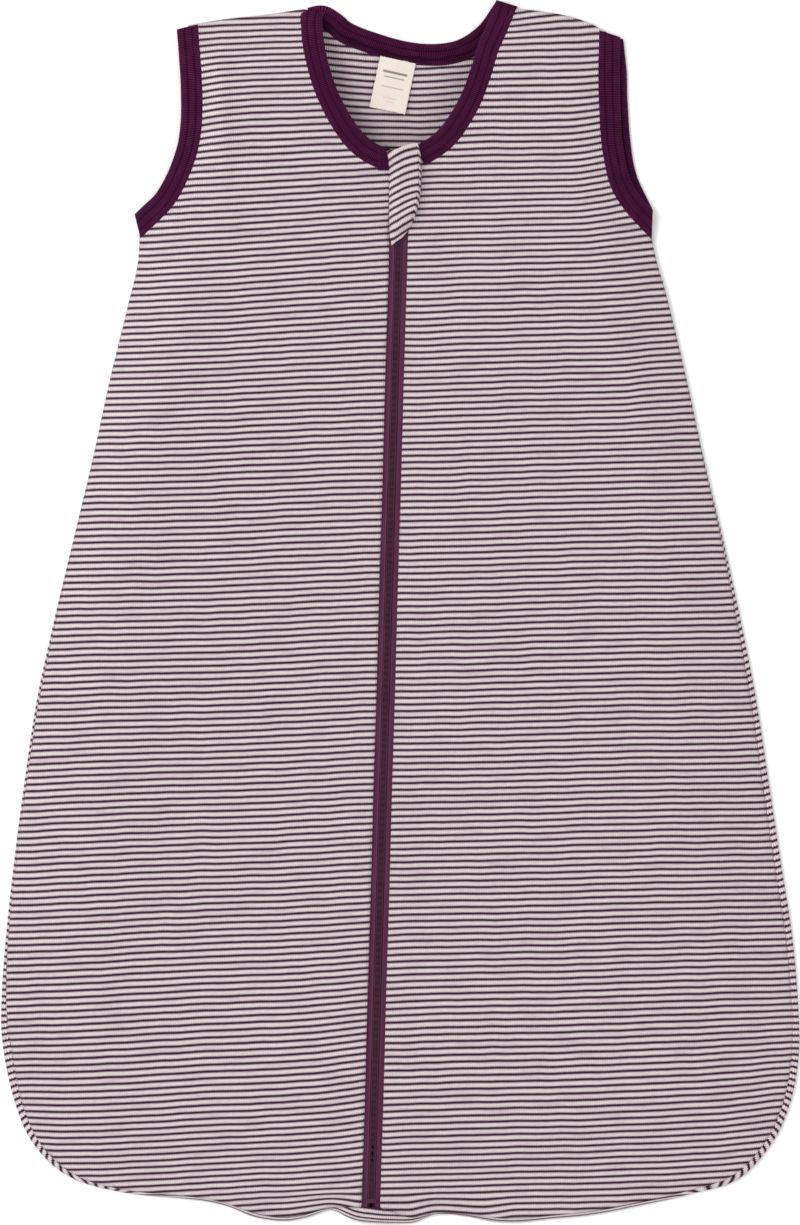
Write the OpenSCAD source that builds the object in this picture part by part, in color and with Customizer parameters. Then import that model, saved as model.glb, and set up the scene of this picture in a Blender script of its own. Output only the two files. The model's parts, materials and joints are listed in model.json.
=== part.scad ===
// Sleeveless baby sleeping bag in striped jersey, lying on its back with the zip closed.
// X runs across the bag, Y from the hem to the shoulders and Z up from the surface that it lies on.
// "left" and "right" are the sides seen by someone who looks down at the front, with the neck at the top.

/* [Bag] */
// Length from the high points of the shoulders to the hem
bag_length = 700; // [580:5:840]
// Width across the widest part of the foot end
foot_width = 458; // [380:2:550]
// Height of the widest part above the hem
foot_rise = 125; // [104:1:150]
// Width across the chest, just under the armholes
chest_width = 302; // [250:2:364]
// Width from one shoulder tip to the other
shoulder_width = 256; // [212:2:308]
// Fall of the shoulder seam from the neck to the tip
shoulder_fall = 15; // [8:1:22]
// Height of the armhole, from the underarm to the shoulder tip
armhole_depth = 108; // [90:1:130]
// How far the armhole is hollowed in below the shoulder tip
armhole_hollow = 4; // [1:1:8]

/* [Neck] */
// Width of the neckline at the shoulders, between the middles of the binding
neck_width = 108; // [90:1:130]
// Drop of the neckline at the front, to the middle of the binding
front_neck_drop = 91; // [75:1:110]
// Drop of the neckline at the back, to the middle of the binding
back_neck_drop = 26; // [21:1:32]
// How far the lowest point of the back neckline lies off the middle
back_neck_sway = 9; // [0:1:14]

/* [Cloth] */
// Thickness of the jersey
cloth = 1; // [0.6:0.1:1.6]
// Width of the ribbed binding
binding_width = 12.7; // [10.5:0.1:15.3]
// Thickness of the ribbed binding, which is folded round the jersey's edge
binding_thick = 2.2; // [1.6:0.1:3]
// Width of the overlocked seam allowances inside the bag
seam_width = 6; // [4:0.5:8]
// Thickness of the overlocked seam allowances
seam_thick = 1.2; // [0.8:0.1:2]

/* [Loft] */
// Height of the zip's tape above the floor at the hem
zip_foot_height = 7; // [6:0.5:10]
// Height of the zip's tape above the floor at the neck
zip_neck_height = 16; // [13:0.5:20]

/* [Zip] */
// Sideways drift of the zip's foot, from the way that the bag lies
zip_drift = 16.5; // [0:0.5:25]
// Width of one tape
tape_width = 12.5; // [11:0.5:15]
// Thickness of the tape
tape_thick = 0.6; // [0.4:0.05:0.8]
// Width of both tapes that shows between the front panels
zip_window = 10.4; // [9.6:0.2:14]
// Width of the closed chain of coils
chain_width = 4.2; // [3.8:0.1:4.8]
// Height of the coils above the tape
coil_height = 1.7; // [1.3:0.1:2.2]
// Length of the slider
slider_length = 9.5; // [8:0.5:12]
// Width of the slider at its shoulders
slider_width = 8.6; // [8:0.2:10]
// Thickness of the slider's wings
wing_thick = 0.9; // [0.7:0.1:1.2]
// Running clearance round the chain inside the slider
zip_clearance = 0.35; // [0.3:0.05:0.5]
// Length of the pull tab from its pin
tab_length = 19; // [15:1:23]
// Width of the pull tab
tab_width = 5.4; // [5:0.2:7]
// Thickness of the pull tab
tab_thick = 1; // [0.8:0.1:1.4]
// Radius of the pull tab's pin
tab_pin_r = 0.55; // [0.45:0.05:0.7]
// Radial play of the pin in the slider's arch
tab_pin_play = 0.08; // [0.05:0.01:0.1]

/* [Guards] */
// Width of the chin guard
guard_width = 17; // [15:0.5:20]
// Length of the chin guard at its sewn edge
guard_length = 58; // [48:1:70]
// How much shorter the chin guard is at its free edge
guard_slant = 14; // [6:1:20]
// Thickness of the chin guard, which is two layers of jersey
guard_thick = 2; // [1.6:0.1:2.6]

/* [Label] */
// Width of the neck label
label_width = 21; // [17:1:26]
// Length of the neck label
label_length = 30; // [24:1:36]
// Thickness of the neck label
label_thick = 0.5; // [0.3:0.1:0.8]
// Turn of the label against the bag's length
label_turn = 12; // [0:1:20]

/* [Hidden] */
$fn = 32;

LEFT = -1;
RIGHT = 1;
gap = 0.3;              // between pieces that lie side by side
steps = 14;             // points along each curved stretch of an outline

jersey = [0.72, 0.65, 0.68];
plum = [0.25, 0.08, 0.19];
tape_plum = [0.30, 0.16, 0.24];
lacquer = [0.28, 0.12, 0.22];
cream = [0.92, 0.87, 0.82];

y_top = bag_length / 2;
y_hem = -bag_length / 2;
y_tip = y_top - shoulder_fall;
y_underarm = y_tip - armhole_depth;
y_neck = y_top - 5;                        // middle of the binding at the shoulder
y_front_neck = y_top - front_neck_drop;    // middle of the binding at the front
seam_top = cloth + seam_thick;             // underside of the front where it is sewn to the back

// ---- curves ----

function bezier(p, t) = let (u = 1 - t)
    u * u * u * p[0] + 3 * u * u * t * p[1] + 3 * u * t * t * p[2] + t * t * t * p[3];
function curve(p) = [for (i = [0:steps]) bezier(p, i / steps)];
function unit(v) = v / norm(v);
function turned(v) = [v[1], -v[0]];
function reversed(list) = [for (i = [len(list) - 1:-1:0]) list[i]];
function tangent(path, i) =
    unit(path[min(i + 1, len(path) - 1)] - path[max(i - 1, 0)]);
// The path moved sideways, to its right as it is followed
function beside(path, d) = [for (i = [0:len(path) - 1]) path[i] + d * turned(tangent(path, i))];
function on_side(path, side) = [for (p = path) [side * p[0], p[1]]];

// The right half of the outline, from the middle of the hem to the shoulder
hem_curve = [for (i = [0:6]) [i / 6 * 100, y_hem + 2 + 6 * pow(i / 6, 2)]];
corner_curve = curve([[100, y_hem + 8], [foot_width / 2 - 24, y_hem + 12],
    [foot_width / 2 + 2, y_hem + foot_rise - 80], [foot_width / 2, y_hem + foot_rise]]);
side_curve = curve([[foot_width / 2, y_hem + foot_rise], [foot_width / 2 - 1, y_hem + foot_rise + 135],
    [chest_width / 2 + 14, y_underarm - 115], [chest_width / 2, y_underarm]]);
armhole_curve = curve([[chest_width / 2, y_underarm], [shoulder_width / 2, y_underarm + 13],
    [shoulder_width / 2 - armhole_hollow, y_underarm + 48], [shoulder_width / 2, y_tip]]);
neck_point = [neck_width / 2, y_top - 1];
// The armhole's edge, run on past the side seam and past the shoulder seam
armhole_path = concat([armhole_curve[0] - 12 * tangent(armhole_curve, 0)], armhole_curve,
    [armhole_curve[steps] + 12 * tangent(armhole_curve, steps)]);

// The neckline, along the middle of the binding
front_neck_curve = curve([[neck_width / 2, y_neck], [neck_width / 2 - 6, y_neck - 45],
    [neck_width / 4, y_front_neck + 3], [0, y_front_neck]]);
back_neck_curve = curve([[-neck_width / 2 + 1, y_neck], [-neck_width / 2 + 35 + back_neck_sway, y_neck - 10],
    [neck_width / 2 - 29 + back_neck_sway, y_top - 2 * back_neck_drop + 2], [neck_width / 2 - 1, y_neck]]);

half_outline = concat(hem_curve, corner_curve, side_curve, armhole_curve, [neck_point, [0, y_top]]);
// The loft's own edge runs on past the armhole, so that the armhole's front edge stands clear of its back
loft_edge = concat(hem_curve, corner_curve, side_curve,
    [[chest_width / 2 + 2, y_underarm + 35], [chest_width / 2 + 2, y_tip - 34],
        [shoulder_width / 2 + 12, y_tip - 2], neck_point, [0, y_top]]);

// ---- the zip's own frame: Y up along the closed zip, Z out of the tape's face, origin at its foot ----

zip_foot = [-zip_drift, y_hem + 9];
zip_head = [0, y_front_neck + 3];
zip_run = norm(zip_head - zip_foot);
zip_along = unit(zip_head - zip_foot);
zip_pitch = (zip_neck_height - zip_foot_height) / zip_run;    // rise of the tape per millimetre
zip_tilt = atan(zip_pitch);
zip_lean = atan2(zip_along[0], zip_along[1]);
zip_end = zip_run / cos(zip_tilt);

module in_zip_frame() {
    translate([zip_foot[0], zip_foot[1], zip_foot_height])
        rotate([0, 0, -zip_lean]) rotate([zip_tilt, 0, 0]) children();
}
// Plan position of a point in the zip's frame
function from_zip(q) = zip_foot + q[0] * turned(zip_along) + q[1] * cos(zip_tilt) * zip_along;
function tape_height(p) = zip_foot_height + zip_pitch * ((p - zip_foot) * zip_along);

panel_lift = 0.05;                                // jersey above the tape
slider_y = zip_end - 19;                          // middle of the slider at rest, in the zip's frame
chain_foot = 4;                                   // where the chain starts, above the bottom stop
fold_foot = [chain_width / 2 + gap, 36];          // where each front edge's fold starts, in the zip's frame
neck_inner = [neck_width / 2 - binding_width / 2 - 5, y_neck];    // where each fold ends, at the neckline

lapel_turn = 140;                                 // how far a lapel folds back
// How far the fixed cloth is cut back from the fold at the hem, clear of the coil on the turned lapel
fold_room = 1.08 * (coil_height * sin(lapel_turn)
    - cos(lapel_turn) * (cloth + panel_lift - coil_height * cos(lapel_turn)) / sin(lapel_turn));
function fold_start(side) = from_zip([side * fold_foot[0], fold_foot[1]]);
function fold_end(side) = [side * neck_inner[0], neck_inner[1]];

// ---- the loft: the underside of the front, raised or lowered by z and thick high ----

function loft_inner(p) = [0.7 * p[0],
    min(max(p[1], y_hem + 7 + 50 * pow(p[0] / (foot_width / 2), 2)), y_top - 42)];
loft_rows = 4;
function ease(u) = u * u * (3 - 2 * u);
function loft_point(p, k, z) = let (
        u = k / loft_rows,
        inner = loft_inner(p),
        flat = p + u * (inner - p),
        z_inner = tape_height(inner) + panel_lift)
    [flat[0], flat[1], seam_top + ease(u) * (z_inner - seam_top) + z];

module loft(z, thick) {
    inner_edge = [for (i = [1:len(loft_edge) - 2]) loft_edge[i]];
    ring = concat(loft_edge, reversed(on_side(inner_edge, LEFT)));
    n = len(ring);
    points = [for (layer = [0, thick]) for (k = [0:loft_rows]) for (p = ring) loft_point(p, k, z + layer)];
    m = n * (loft_rows + 1);
    function at(k, i) = k * n + i % n;
    skin = [for (k = [0:loft_rows - 1]) for (i = [0:n - 1]) each
        [[at(k, i), at(k, i + 1), at(k + 1, i + 1)], [at(k, i), at(k + 1, i + 1), at(k + 1, i)]]];
    cap = [for (i = [0:n - 1]) at(loft_rows, i)];
    under = concat(skin, [cap]);
    over = [for (face = under) reversed([for (v = face) v + m])];
    rim = [for (i = [0:n - 1]) each [[at(0, i), at(0, i) + m, at(0, i + 1) + m],
        [at(0, i), at(0, i + 1) + m, at(0, i + 1)]]];
    polyhedron(points, concat(under, over, rim), convexity = 6);
}
module front_layer(z, thick) {
    intersection() {
        loft(z, thick);
        linear_extrude(zip_neck_height + 20) children();
    }
}

// ---- plan shapes ----

module outline() {
    n = len(half_outline);
    polygon(concat(half_outline, [for (i = [n - 2:-1:1]) [-half_outline[i][0], half_outline[i][1]]]));
}
// A strip along a path on the right of the bag, from d0 to d1 on the path's right, or its mirror image
module strip(path, d0, d1, side) {
    polygon(on_side(concat(beside(path, d0), reversed(beside(path, d1))), side));
}
module armhole_band(side) {
    polygon(on_side(concat(armhole_path, reversed(beside(armhole_path, -binding_width))), side));
}
module armhole_area(side, grow) {
    corners = [[chest_width, y_top + 20], [chest_width, y_underarm - 20]];
    polygon(on_side(concat(beside(armhole_path, -grow), corners), side));
}
// The front neckline's area, from the shoulders down to the middle of its binding plus grow
module front_neck_area(grow) {
    right = beside(front_neck_curve, -grow);
    polygon(concat([[neck_width / 2 + grow, y_top + 20]], right, reversed(on_side(right, LEFT)),
        [[-neck_width / 2 - grow, y_top + 20]]));
}
module back_neck_area(grow) {
    low = beside(back_neck_curve, grow);
    polygon(concat([[-neck_width / 2 - grow, y_top + 20]], [[-neck_width / 2 - grow, y_neck]], low,
        [[neck_width / 2 + grow, y_neck], [neck_width / 2 + grow, y_top + 20]]));
}
module front_neck_band(side) {
    right = concat([[neck_width / 2, y_top + 20]], front_neck_curve);
    strip(right, -binding_width / 2, binding_width / 2, side);
}
module back_neck_band() {
    path = concat([[-neck_width / 2 + 1, y_top + 20]], back_neck_curve, [[neck_width / 2 - 1, y_top + 20]]);
    strip(path, -binding_width / 2, binding_width / 2, RIGHT);
}
// Everything on the zip's side of a front edge's fold, set back from the fold by inset at the neck and by
// foot_inset at the hem, where the fold's axis lies lower and a turned lapel needs more room
module fold_side(side, inset, foot_inset) {
    a = fold_start(side);
    b = fold_end(side);
    along = unit(b - a);
    in = -side * turned(along);
    past = -0.1 * side;
    polygon([a + foot_inset * in + inset * along, b + 40 * along + inset * in,
        from_zip([past, zip_end + 140]), from_zip([past, fold_foot[1] + inset])]);
}
// The strip of plan between the middle of the zip and reach, on one side
module zip_strip(side, from, reach) {
    low = from_zip([side * from, -40]);
    high = from_zip([side * from, zip_end + 120]);
    out = side * turned(zip_along) * (reach - from);
    polygon([low, low + out, high + out, high]);
}
module past_zip(side) {
    zip_strip(side, zip_window / 2, 300);
}

// ---- jersey ----

module back_panel() {
    color(jersey) linear_extrude(cloth) difference() {
        outline();
        armhole_area(LEFT, binding_width + gap);
        armhole_area(RIGHT, binding_width + gap);
        back_neck_area(binding_width / 2 + gap);
    }
}
module front_cut(side) {
    difference() {
        intersection() {
            outline();
            past_zip(side);
        }
        armhole_area(side, binding_width + gap);
        front_neck_area(binding_width / 2 + gap);
    }
}
// The part of each front panel that stays down, outside its fold
module front_panel(side) {
    color(jersey) front_layer(0, cloth) difference() {
        front_cut(side);
        fold_side(side, 0, -fold_room);
    }
}
// The part of each front panel that folds back when the zip is opened
module front_lapel(side) {
    color(jersey) front_layer(0, cloth) intersection() {
        front_cut(side);
        fold_side(side, gap, gap);
    }
}

// ---- seams ----

module shoulder_seam(side) {
    slope = shoulder_fall / (shoulder_width / 2 - neck_width / 2);
    tip = [shoulder_width / 2 - binding_width - gap, y_tip + (binding_width + gap) * slope];
    neck = [neck_width / 2 + binding_width / 2 + 2, y_top - 3];
    color(plum) translate([0, 0, cloth]) linear_extrude(seam_thick)
        polygon(on_side([tip, neck, neck - [0, seam_width], tip - [0, seam_width]], side));
}
module side_seam(side) {
    run = concat([for (i = [steps - 4:steps - 1]) corner_curve[i]], [for (i = [0:steps - 1]) side_curve[i]]);
    color(plum) translate([0, 0, cloth]) linear_extrude(seam_thick)
        polygon(on_side(concat(run, reversed(beside(run, -seam_width))), side));
}
module hem_seam() {
    right = concat(hem_curve, [for (i = [1:steps - 5]) corner_curve[i]]);
    run = concat(reversed(on_side(right, LEFT)), [for (i = [1:len(right) - 1]) right[i]]);
    color(plum) translate([0, 0, cloth]) linear_extrude(seam_thick)
        polygon(concat(run, reversed(beside(run, -seam_width))));
}

// ---- bindings ----

binding_low = -(binding_thick - cloth) / 2;       // the binding covers both faces of the jersey
module neck_binding_front(side) {
    front_layer(binding_low, binding_thick) difference() {
        intersection() {
            front_neck_band(side);
            outline();
        }
        fold_side(side, 0, -fold_room);
        zip_strip(side, -30, zip_window / 2);
    }
}
module neck_binding() {
    color(plum) union() {
        neck_binding_front(LEFT);
        neck_binding_front(RIGHT);
        linear_extrude(binding_thick) intersection() {
            back_neck_band();
            outline();
        }
    }
}
module neck_binding_lapel(side) {
    color(plum) front_layer(binding_low, binding_thick) intersection() {
        front_neck_band(side);
        fold_side(side, gap, gap);
        past_zip(side);
    }
}
module armhole_binding(side) {
    color(plum) union() {
        front_layer(binding_low, binding_thick) intersection() {
            armhole_band(side);
            outline();
        }
        linear_extrude(binding_thick) intersection() {
            armhole_band(side);
            outline();
        }
    }
}

// ---- zip ----

chain_half = chain_width / 2;
tape_neck = zip_window / 2 - gap;                 // half width of the tapes between the neck binding's ends
tape_top = zip_end - binding_width / 2 - 4.2;     // where the tape's full width ends, below the neck binding
module tape_solid(side) {
    in_zip_frame() translate([0, 0, -tape_thick]) linear_extrude(tape_thick)
        polygon(on_side([[gap / 2, 0], [tape_width, 0], [tape_width, tape_top - 2], [tape_neck, tape_top],
            [tape_neck, zip_end - 4], [gap / 2, zip_end - 4]], side));
}
module zip_tape(side) {
    color(tape_plum) intersection() {
        tape_solid(side);
        linear_extrude(zip_neck_height + 20) fold_side(side, gap, gap);
    }
}
module zip_tape_foot(side) {
    color(tape_plum) difference() {
        tape_solid(side);
        linear_extrude(zip_neck_height + 20) fold_side(side, 0, -fold_room);
    }
}
// One side of the chain, with its outer edge rounded off as the coil's loops are
module coil_bar(side, from, to) {
    round_off = coil_height * 0.4;
    in_zip_frame() translate([0, to, 0]) rotate([90, 0, 0]) linear_extrude(to - from)
        polygon(on_side([[gap / 2, 0], [chain_half, 0], [chain_half, coil_height - round_off],
            [chain_half - round_off, coil_height], [gap / 2, coil_height]], side));
}
module zip_coil(side) {
    color(tape_plum) coil_bar(side, fold_foot[1] + gap, slider_y - gap);
}
module zip_coil_foot(side) {
    color(tape_plum) coil_bar(side, chain_foot + 1, fold_foot[1]);
}
module top_stop(side) {
    y = slider_y + slider_length / 2 + 1;
    color(lacquer) in_zip_frame() translate([side > 0 ? 0.6 : -2.6, y, 0]) cube([2, 2.6, 1.5]);
}
module bottom_stop() {
    wide = chain_width + 1.2;
    slot = [tape_width, chain_foot + 1, tape_thick + 0.04];
    color(lacquer) in_zip_frame() difference() {
        translate([-wide / 2, 1.5, -tape_thick - 0.7])
            cube([wide, chain_foot - 1.5, coil_height + tape_thick + 1.4]);
        translate([gap / 2 - 0.02, 0, -tape_thick - 0.02]) cube(slot);
        translate([-gap / 2 + 0.02 - tape_width, 0, -tape_thick - 0.02]) cube(slot);
    }
}

post = gap - 0.1;                                 // width of the web between the wings, between the two tapes
wing_low = -tape_thick - 0.4 - wing_thick;        // underside of the lower wing
wing_high = coil_height + zip_clearance;          // underside of the upper wing
slider_top = wing_high + wing_thick;
pin_height = slider_top + tab_pin_r + 0.25;
module wing_plan() {
    narrow = slider_width - 2;
    wide = slider_width;
    long = slider_length;
    polygon([[-narrow / 2, -long / 2], [narrow / 2, -long / 2], [wide / 2, long / 2 - 3],
        [wide / 2 - 1, long / 2], [-wide / 2 + 1, long / 2], [-wide / 2, long / 2 - 3]]);
}
module flange_plan() {
    channel = chain_half + zip_clearance;
    difference() {
        wing_plan();
        polygon([[-channel, -slider_length], [channel, -slider_length], [channel + 0.8, slider_length],
            [-channel - 0.8, slider_length]]);
    }
}
module zip_slider() {
    color(lacquer) in_zip_frame() translate([0, slider_y, 0]) union() {
        translate([0, 0, wing_high]) linear_extrude(wing_thick) wing_plan();
        translate([0, 0, wing_low]) linear_extrude(wing_thick) wing_plan();
        translate([0, 0, 0.5]) linear_extrude(wing_high - 0.5 + 0.1) flange_plan();
        translate([0, 0, wing_low]) linear_extrude(wing_thick + 0.2) flange_plan();
        translate([-post / 2, 0.4, wing_low]) cube([post, slider_length / 2 - 0.4, slider_top - wing_low]);
    }
}
arch_width = 2.4;
arch_wall = 0.7;
module slider_arch() {
    arch_length = 4.6;
    arch_top = pin_height + tab_pin_r + tab_pin_play + arch_wall;
    color(lacquer) in_zip_frame() translate([-arch_width / 2, slider_y, 0]) difference() {
        translate([0, -arch_length / 2, slider_top]) cube([arch_width, arch_length, arch_top - slider_top]);
        translate([-1, 0, pin_height]) rotate([0, 90, 0])
            cylinder(r = tab_pin_r + tab_pin_play, h = arch_width + 2);
    }
}
module pull_tab() {
    eye = 5.6;                                    // length of the opening that straddles the arch
    eye_half = arch_width / 2 + 0.3;
    tab_round = tab_width / 2 - tab_length;       // middle of the tab's rounded end
    color(lacquer) in_zip_frame() translate([0, slider_y, pin_height]) union() {
        rotate([0, 90, 0]) translate([0, 0, -tab_width / 2]) cylinder(r = tab_pin_r, h = tab_width);
        difference() {
            translate([0, 0, -tab_thick / 2]) linear_extrude(tab_thick) union() {
                translate([-tab_width / 2, tab_round]) square([tab_width, -tab_round]);
                translate([0, tab_round]) circle(r = tab_width / 2);
            }
            translate([-eye_half, -eye, -tab_thick]) cube([2 * eye_half, eye + 1, 2 * tab_thick]);
            translate([0, tab_round, -tab_thick]) cylinder(r = 1.1, h = 2 * tab_thick);
        }
    }
}

// ---- guards ----

guard_left = -zip_window / 2 - 1;
guard_foot = cloth + panel_lift + 0.9;            // underside of the chin guard's two edges
guard_rise = pin_height + tab_thick + 0.5;        // underside of its crown, above the pull tab
module guard_section() {
    under = [[0, guard_foot], [2.2, guard_rise - 0.6], [4, guard_rise], [10, guard_rise],
        [12.5, guard_rise - 1], [guard_width, guard_foot]];
    polygon(concat(under, reversed([for (p = under) p + [0, guard_thick]])));
}
module chin_guard() {
    head = zip_end + 4;
    color(jersey) in_zip_frame() difference() {
        translate([guard_left, head, 0]) rotate([90, 0, 0]) linear_extrude(guard_length) guard_section();
        translate([0, 0, -1]) linear_extrude(40) polygon([[guard_left - 1, head - guard_length],
            [guard_left, head - guard_length], [guard_left + guard_width, head - guard_length + guard_slant],
            [guard_left + guard_width + 1, head - guard_length + guard_slant], [20, head - guard_length - 5],
            [guard_left - 1, head - guard_length - 5]]);
    }
}

// ---- label ----

label_height = 1.4;                               // underside of the label, above the back panel
label_top = [-1, y_top - back_neck_drop - 5.5];   // middle of its sewn edge
module neck_label() {
    color(cream) translate([label_top[0], label_top[1], label_height]) rotate([0, 0, -label_turn])
        translate([-label_width / 2, -label_length, 0]) cube([label_width, label_length, label_thick]);
}

back_panel();
front_panel(LEFT);  // front_panel_left
front_panel(RIGHT);  // front_panel_right
front_lapel(LEFT);  // front_lapel_left
front_lapel(RIGHT);  // front_lapel_right
shoulder_seam(LEFT);  // shoulder_seam_left
shoulder_seam(RIGHT);  // shoulder_seam_right
side_seam(LEFT);  // side_seam_left
side_seam(RIGHT);  // side_seam_right
hem_seam();
neck_binding();
neck_binding_lapel(LEFT);  // neck_binding_lapel_left
neck_binding_lapel(RIGHT);  // neck_binding_lapel_right
armhole_binding(LEFT);  // armhole_binding_left
armhole_binding(RIGHT);  // armhole_binding_right
zip_tape(LEFT);  // zip_tape_left
zip_tape(RIGHT);  // zip_tape_right
zip_tape_foot(LEFT);  // zip_tape_foot_left
zip_tape_foot(RIGHT);  // zip_tape_foot_right
zip_coil(LEFT);  // zip_coil_left
zip_coil(RIGHT);  // zip_coil_right
zip_coil_foot(LEFT);  // zip_coil_foot_left
zip_coil_foot(RIGHT);  // zip_coil_foot_right
top_stop(LEFT);  // top_stop_left
top_stop(RIGHT);  // top_stop_right
bottom_stop();
zip_slider();
slider_arch();
pull_tab();
chin_guard();
neck_label();
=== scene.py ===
"""Sleeveless baby sleeping bag in striped rib jersey, lying flat with its zip closed.

Lengths in this script are millimetres in the row frame (+Y to the neck, +Z up) until obj() makes a mesh of
them. What the frame's joints give is in metres.
"""

import json
import math

import bpy
import numpy as np
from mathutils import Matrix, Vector

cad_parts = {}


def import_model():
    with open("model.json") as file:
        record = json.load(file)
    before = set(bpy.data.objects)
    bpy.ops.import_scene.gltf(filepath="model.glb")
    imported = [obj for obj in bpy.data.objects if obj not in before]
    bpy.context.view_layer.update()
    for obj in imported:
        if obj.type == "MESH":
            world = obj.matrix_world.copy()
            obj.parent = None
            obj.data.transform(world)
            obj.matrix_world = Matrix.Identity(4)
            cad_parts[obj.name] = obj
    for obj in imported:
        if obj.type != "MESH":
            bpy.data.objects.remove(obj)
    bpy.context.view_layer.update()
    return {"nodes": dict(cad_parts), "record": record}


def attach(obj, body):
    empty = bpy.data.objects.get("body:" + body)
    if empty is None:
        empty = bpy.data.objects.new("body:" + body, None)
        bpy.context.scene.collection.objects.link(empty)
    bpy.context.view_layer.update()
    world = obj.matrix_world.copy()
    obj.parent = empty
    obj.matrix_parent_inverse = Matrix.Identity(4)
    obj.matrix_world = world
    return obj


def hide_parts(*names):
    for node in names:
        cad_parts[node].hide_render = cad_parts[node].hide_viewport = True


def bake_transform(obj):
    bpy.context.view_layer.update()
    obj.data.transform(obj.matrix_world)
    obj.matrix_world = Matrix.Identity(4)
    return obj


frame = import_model()
rng = np.random.default_rng(70)
MM = 0.001
WORD = {-1: "left", 1: "right"}  # of the bag in the photo; a side is also the sign of its x
JOINTS = {j["name"]: j for j in frame["record"]["behaviour"]["joints"]}

PITCH = 3.785  # distance between two stripes
CLOTH = 1.1  # thickness of the jersey
BAND_W = 12.7  # width of the ribbed bindings
BAND_T = 2.3  # thickness of the ribbed bindings
GRID = 2.0  # spacing of the cloth meshes' points
STITCH_ROWS = (0.30, -0.40)  # a binding's rows of coverstitch, in halves of its width from its middle
SEAM_Z = 2.2  # height of the fronts' inner face at their seams
ZIP_Z = (7.0, 16.0)  # height of the zip tapes' top face at the foot and at the neck


# ---- numbers and curves

def arr(points):
    return np.array(points, float)


def spline(points, per=14):
    """Catmull-Rom curve through the points."""
    p = arr(points)
    p = np.vstack([2 * p[0] - p[1], p, 2 * p[-1] - p[-2]])
    t = np.linspace(0, 1, per, endpoint=False)[:, None]
    out = []
    for a, b, c, d in zip(p[:-3], p[1:-2], p[2:-1], p[3:]):
        out.append(0.5 * (2 * b + (c - a) * t + (2 * a - 5 * b + 4 * c - d) * t**2
                          + (3 * b - 3 * c + d - a) * t**3))
    return np.vstack([*out, p[-2:-1]])


def taken_at(where, s, values):
    """The rows of values, given at the lengths s, at the lengths in where."""
    return np.stack([np.interp(where, s, column) for column in values.T], -1)


def resample(path, step):
    """The same path with points step apart."""
    p = arr(path)
    s = length_along(p)
    n = max(2, int(round(s[-1] / step)) + 1)
    return taken_at(np.linspace(0, s[-1], n), s, p)


def length_along(path):
    """The length from the path's start to each of its points."""
    return np.r_[0, np.cumsum(np.linalg.norm(np.diff(path, axis=0), axis=1))]


def tangents(path):
    t = np.gradient(path, axis=0)
    return t / np.linalg.norm(t, axis=1)[:, None]


def smooth(t):
    """A step from 0 to 1 with soft ends."""
    t = np.clip(t, 0, 1)
    return t * t * (3 - 2 * t)


def hill(x, centre, width):
    """A bell curve of height 1."""
    return np.exp(-(((x - centre) / width) ** 2))


CHUNK = 4000  # points measured at once, to keep the arrays small


def distance(points, poly):
    """Each plan point's distance to the closed polygon, positive inside, and the nearest point on it."""
    a = arr(poly)
    b = np.roll(a, -1, axis=0)
    ab = b - a
    den = (ab**2).sum(1) + 1e-12
    dist = np.empty(len(points))
    near = np.empty((len(points), 2))
    inside = np.zeros(len(points), bool)
    for lo in range(0, len(points), CHUNK):
        part = slice(lo, lo + CHUNK)
        p = points[part, None, :]
        t = np.clip(((p - a) * ab).sum(2) / den, 0, 1)
        q = a + t[..., None] * ab
        d2 = ((p - q) ** 2).sum(2)
        k = d2.argmin(1)
        rows = np.arange(len(k))
        dist[part] = np.sqrt(d2[rows, k])
        near[part] = q[rows, k]
        x, y = points[part, 0:1], points[part, 1:2]
        cross = (a[:, 1] > y) != (b[:, 1] > y)
        xs = a[:, 0] + (y - a[:, 1]) * ab[:, 0] / np.where(ab[:, 1] == 0, 1e-12, ab[:, 1])
        inside[part] = ((cross & (x < xs)).sum(1) % 2) == 1
    return np.where(inside, dist, -dist), near


# ---- outlines

LEFT_SIDE = [(-152.7, 229), (-150, 218), (-151, 200), (-156, 179), (-167, 134), (-177, 88), (-188, 42),
    (-199, -4), (-209, -50), (-216, -96), (-222, -142), (-227, -188), (-229.5, -226), (-228.5, -250),
    (-222, -281), (-211, -306), (-190, -325), (-158, -334), (-118, -338), (-99, -342), (-84, -348),
    (-67, -350.3), (-53, -348)]
LOBE = [(-42, -343.8), (-37.5, -344.2), (-30, -348.3), (-22, -350.6), (-6, -351.5), (7, -351.2),
    (14, -348.6), (20, -346.2)]
RIGHT_SIDE = [(145, 215), (147.5, 203), (154, 180), (165, 134), (175, 88), (186, 42), (196, -4), (205, -50),
    (212, -96), (219, -142), (226, -188), (229.5, -230), (229.5, -256), (225, -281), (215, -304),
    (195, -326), (166, -335), (142, -340.5), (112, -346.5), (86, -349.2), (69, -351), (54, -350.6),
    (40, -348), (29, -346.4)]
LEFT_ARM = [(-152.7, 229.2), (-148, 233.6), (-140.5, 241), (-134.7, 251), (-130.2, 262), (-127.3, 273),
    (-126, 287), (-126.4, 308), (-128.5, 335.5)]
RIGHT_ARM = [(145.4, 231.8), (140.8, 236.6), (135.6, 243.6), (132, 251), (129, 264.5), (127.4, 279),
    (126.4, 308), (126.9, 331)]
RIGHT_ARM_BACK = [(145, 215), (146.2, 224), (145.6, 231), (140.9, 241), (135.8, 253), (132.8, 270),
    (131, 294), (130.4, 312), (128.5, 330)]
LEFT_SHOULDER = [(-122, 338), (-104, 341), (-76, 344.3), (-55, 347.4)]
RIGHT_SHOULDER = [(121, 332.6), (109, 339.2), (95, 343.6), (81, 346), (60, 348.4)]
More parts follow.
